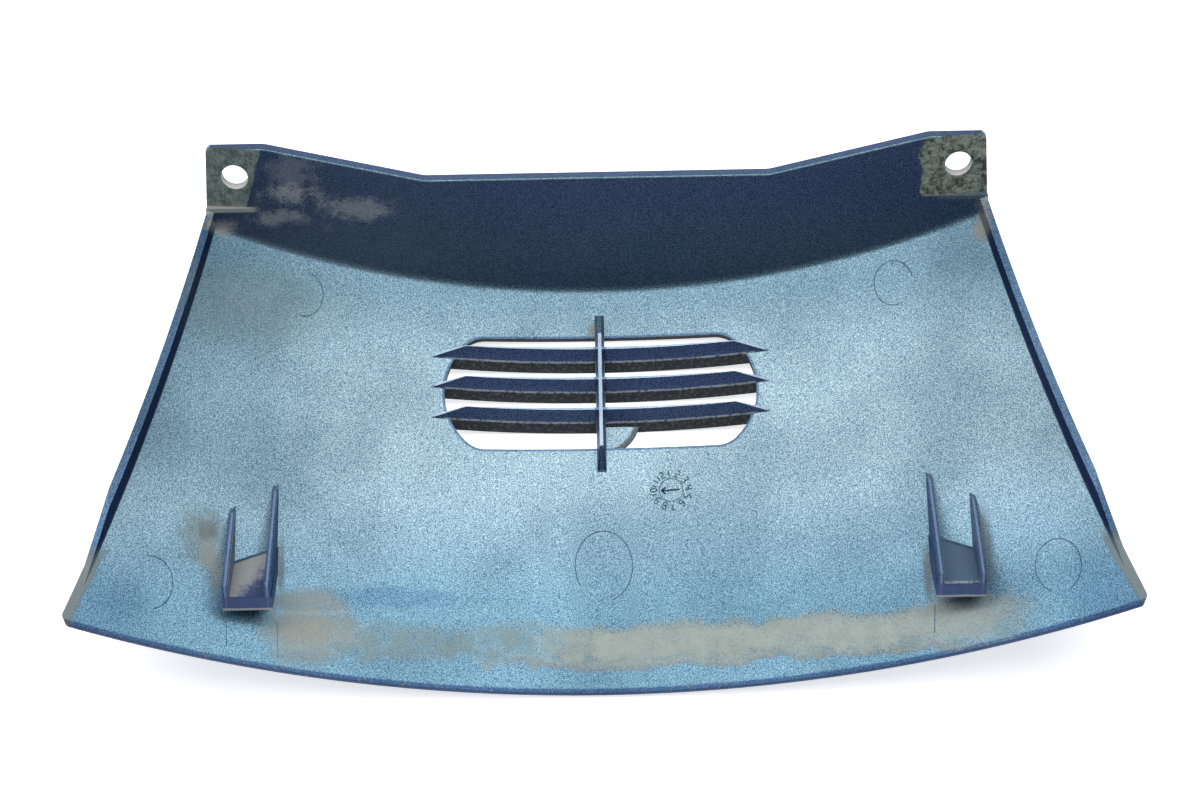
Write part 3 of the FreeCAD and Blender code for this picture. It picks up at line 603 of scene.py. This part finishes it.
def bead(path, width, height):
    """A low rounded bead on the inner skin, closed all round: each path point is moved sideways by the
    profile's offset and stands on the skin by the profile's height, which runs out at both ends.
    Gives its points, its four-cornered sides and its two end caps."""
    path = np.asarray(path, dtype=float)
    along = np.gradient(path, axis=0)
    along = along / np.linalg.norm(along, axis=1)[:, None]
    aside = np.stack([-along[:, 1], along[:, 0]], axis=1)
    offset = np.array([-0.5, -0.3, 0.0, 0.3, 0.5]) * width
    rise = np.array([-0.3, 0.7, 1.0, 0.7, -0.3]) * height
    run_out = np.ones(len(path))
    run_out[[0, -1]] = -0.1
    plan = path[:, None, :] + offset[None, :, None] * aside[:, None, :]
    z = skin_height(plan[..., 0]) + np.minimum(rise[None, :], run_out[:, None] * height)
    points = np.concatenate([plan, z[..., None]], axis=2)
    rows, columns = z.shape
    row = np.arange(rows - 1)[:, None] * columns
    this = np.arange(columns)[None, :]
    after = (this + 1) % columns
    sides = np.stack([row + this, row + this + columns, row + after + columns, row + after], axis=2)
    start = np.arange(columns)
    caps = np.stack([start, start[::-1] + (rows - 1) * columns])
    return points.reshape(-1, 3), sides.reshape(-1, 4), caps


def line(start, end, count=5):
    """Evenly spaced points from start to end."""
    return np.linspace(start, end, count)


def arc(middle, radius, start, end, stretch=1.0, count=48):
    """Points of a circle, drawn out along the panel by the stretch, from start to end in degrees."""
    turn = np.radians(np.linspace(start, end, count))
    return np.stack([middle[0] + radius * np.cos(turn), middle[1] + stretch * radius * np.sin(turn)], axis=1)


def place_beads(name, beads, material):
    """Make one piece of several beads, in the cover's frame."""
    starts = np.cumsum([0] + [len(points) for points, _, _ in beads])
    points = np.concatenate([points for points, _, _ in beads]) * MM
    sides = np.concatenate([sides + start for (_, sides, _), start in zip(beads, starts)])
    caps = np.concatenate([caps + start for (_, _, caps), start in zip(beads, starts)])
    faces = sides.tolist() + caps.tolist()
    mesh = bpy.data.meshes.new(name)
    mesh.from_pydata(points.tolist(), [], faces)
    mesh.polygons.foreach_set("use_smooth", np.ones(len(faces), dtype=bool))
    mesh.materials.append(material)
    piece = bpy.data.objects.new(name, mesh)
    bpy.context.scene.collection.objects.link(piece)
    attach(piece, "root")


def mould_lines():
    """Fine lines left by the mould: rims of its round pins and seams beside the clips."""
    stretch = 1.0 / math.cos(DRAW_LEAN)
    rims = [bead(arc(middle, radius, start, end, stretch), *PIN_RIM_BEAD)
            for middle, radius, start, end in PIN_RIMS]
    return rims + [bead(line(start, end), *SEAM_BEAD) for start, end in SEAMS]


# Plain strokes of the figures, in a box one wide and two high.
FIGURES = {
    "0": ((0, 0), (1, 0), (1, 2), (0, 2), (0, 0)),
    "1": ((0.5, 0), (0.5, 2)),
    "2": ((0, 2), (1, 2), (1, 1), (0, 1), (0, 0), (1, 0)),
    "3": ((0, 2), (1, 2), (1, 1), (0.2, 1), (1, 1), (1, 0), (0, 0)),
    "4": ((0, 2), (0, 1), (1, 1), (1, 2), (1, 0)),
    "5": ((1, 2), (0, 2), (0, 1), (1, 1), (1, 0), (0, 0)),
    "6": ((1, 2), (0, 2), (0, 0), (1, 0), (1, 1), (0, 1)),
    "7": ((0, 2), (1, 2), (0.4, 0)),
    "8": ((0, 1), (0, 0), (1, 0), (1, 2), (0, 2), (0, 1), (1, 1)),
    "9": ((1, 1), (0, 1), (0, 2), (1, 2), (1, 0), (0, 0)),
}


def figure_beads(text, middle, angle, size):
    """Strokes of a plain number, turned to stand outward at its place round the dial."""
    cos, sin = math.cos(angle), math.sin(angle)
    turn = np.array([[sin, -cos], [cos, sin]])
    beads = []
    for index, figure in enumerate(text):
        shift = (index - (len(text) - 1) / 2) * FIGURE_PITCH
        strokes = (np.array(FIGURES[figure], dtype=float) - (0.5, 1.0) + (shift, 0.0)) * size
        strokes = strokes @ turn + middle
        beads += [bead(line(start, end, 4), *FIGURE_BEAD) for start, end in zip(strokes[:-1], strokes[1:])]
    return beads


def date_dial():
    """A moulded month dial: a ring, a pointer and the plain numbers 1 to 12 around it."""
    middle = np.array(DIAL)
    beads = [bead(arc(middle, DIAL_RING, 0, 360), *RING_BEAD)]
    beads += [bead(line(middle + start, middle + end), width, POINTER_HEIGHT) for start, end, width in POINTER]
    for month in range(1, MONTHS + 1):
        angle = math.radians(FIRST_MONTH_ANGLE - 360.0 / MONTHS * (month - 1))
        centre = middle + MONTH_REACH * np.array([math.cos(angle), math.sin(angle)])
        size = FIGURE_SIZE if month < 10 else SMALL_FIGURE_SIZE
        beads += figure_beads(str(month), centre, angle, size)
    return beads


def lay_floor():
    """The pale table: one square sheet, a little below the cover's lowest point."""
    corners = [(-TABLE_HALF, -TABLE_HALF, -TABLE_DROP), (TABLE_HALF, -TABLE_HALF, -TABLE_DROP),
               (TABLE_HALF, TABLE_HALF, -TABLE_DROP), (-TABLE_HALF, TABLE_HALF, -TABLE_DROP)]
    mesh = bpy.data.meshes.new("table")
    mesh.from_pydata(corners, [], [(0, 1, 2, 3)])
    table = bpy.data.objects.new("table", mesh)
    bpy.context.scene.collection.objects.link(table)
    material = bpy.data.materials.new("table_white")
    graph = Graph(material)
    shader = graph.add("ShaderNodeBsdfPrincipled")
    shader.inputs["Base Color"].default_value = (TABLE_WHITE, TABLE_WHITE, TABLE_WHITE, 1.0)
    shader.inputs["Roughness"].default_value = 0.8
    shader.inputs["Emission Color"].default_value = (1.0, 1.0, 1.0, 1.0)
    path = graph.add("ShaderNodeLightPath")
    seen = graph.most(path.outputs["Is Camera Ray"], path.outputs["Is Glossy Ray"],
                      path.outputs["Is Transmission Ray"])
    graph.feed(shader.inputs["Emission Strength"], graph.times(seen, TABLE_GLOW))
    output = graph.add("ShaderNodeOutputMaterial")
    graph.feed(output.inputs["Surface"], shader.outputs[0])
    mesh.materials.append(material)


def hang_lamp(name, place, size, watts):
    """A soft oblong lamp at a place, turned to the origin."""
    lamp = bpy.data.lights.new(name, "AREA")
    lamp.shape = "RECTANGLE"
    lamp.size, lamp.size_y = size
    lamp.energy = watts
    holder = bpy.data.objects.new(name, lamp)
    bpy.context.scene.collection.objects.link(holder)
    direction = -np.array(place)
    direction = direction / np.linalg.norm(direction)
    across = np.cross(direction, (0.0, 1.0, 0.0))
    across = across / np.linalg.norm(across)
    upward = np.cross(across, direction)
    turn = np.eye(4)
    turn[:3, 0], turn[:3, 1], turn[:3, 2], turn[:3, 3] = across, upward, -direction, place
    holder.matrix_world = Matrix(turn.tolist())


def light_scene():
    """A wide soft lamp overhead, a long narrow one in its middle, and a dim cool room."""
    hang_lamp("overhead_softbox", *OVERHEAD_SOFTBOX)
    hang_lamp("long_softbox", *LONG_SOFTBOX)
    world = bpy.data.worlds.new("studio")
    world.use_nodes = True
    background = world.node_tree.nodes["Background"]
    background.inputs["Color"].default_value = ROOM_COLOUR
    background.inputs["Strength"].default_value = 1.0
    bpy.context.scene.world = world


def set_camera():
    """The photograph's view: a long lens, tilted from overhead and rolled a little."""
    camera = bpy.data.cameras.new("photo_camera")
    camera.sensor_width = SENSOR_WIDTH
    camera.lens = CAMERA_LENS
    camera.clip_start, camera.clip_end = 0.01, 20.0
    holder = bpy.data.objects.new("photo_camera", camera)
    bpy.context.scene.collection.objects.link(holder)
    across = np.array([1.0, 0.0, 0.0])
    upward = np.array([0.0, math.cos(CAMERA_TILT), math.sin(CAMERA_TILT)])
    back = np.array([0.0, -math.sin(CAMERA_TILT), math.cos(CAMERA_TILT)])
    roll_cos, roll_sin = math.cos(CAMERA_ROLL), math.sin(CAMERA_ROLL)
    turn = np.eye(4)
    turn[:3, 0] = roll_cos * across - roll_sin * upward
    turn[:3, 1] = roll_sin * across + roll_cos * upward
    turn[:3, 2] = back
    turn[:3, 3] = (np.array(LOOK_AT) + CAMERA_AWAY * back) * MM
    holder.matrix_world = Matrix(turn.tolist())
    bpy.context.scene.camera = holder


clear_stage()
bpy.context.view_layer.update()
dress_cover()
# The mould lines and the dial get paint darkened as painted shade.
place_beads("mould_lines", mould_lines(), mark_paint("line_shaded_blue_paint", LINE_SHADE_TINT))
place_beads("date_dial", date_dial(), mark_paint("shaded_blue_paint", SHADED_TINT))
lay_floor()
light_scene()
set_camera()
bpy.context.scene.view_settings.view_transform = "Standard"
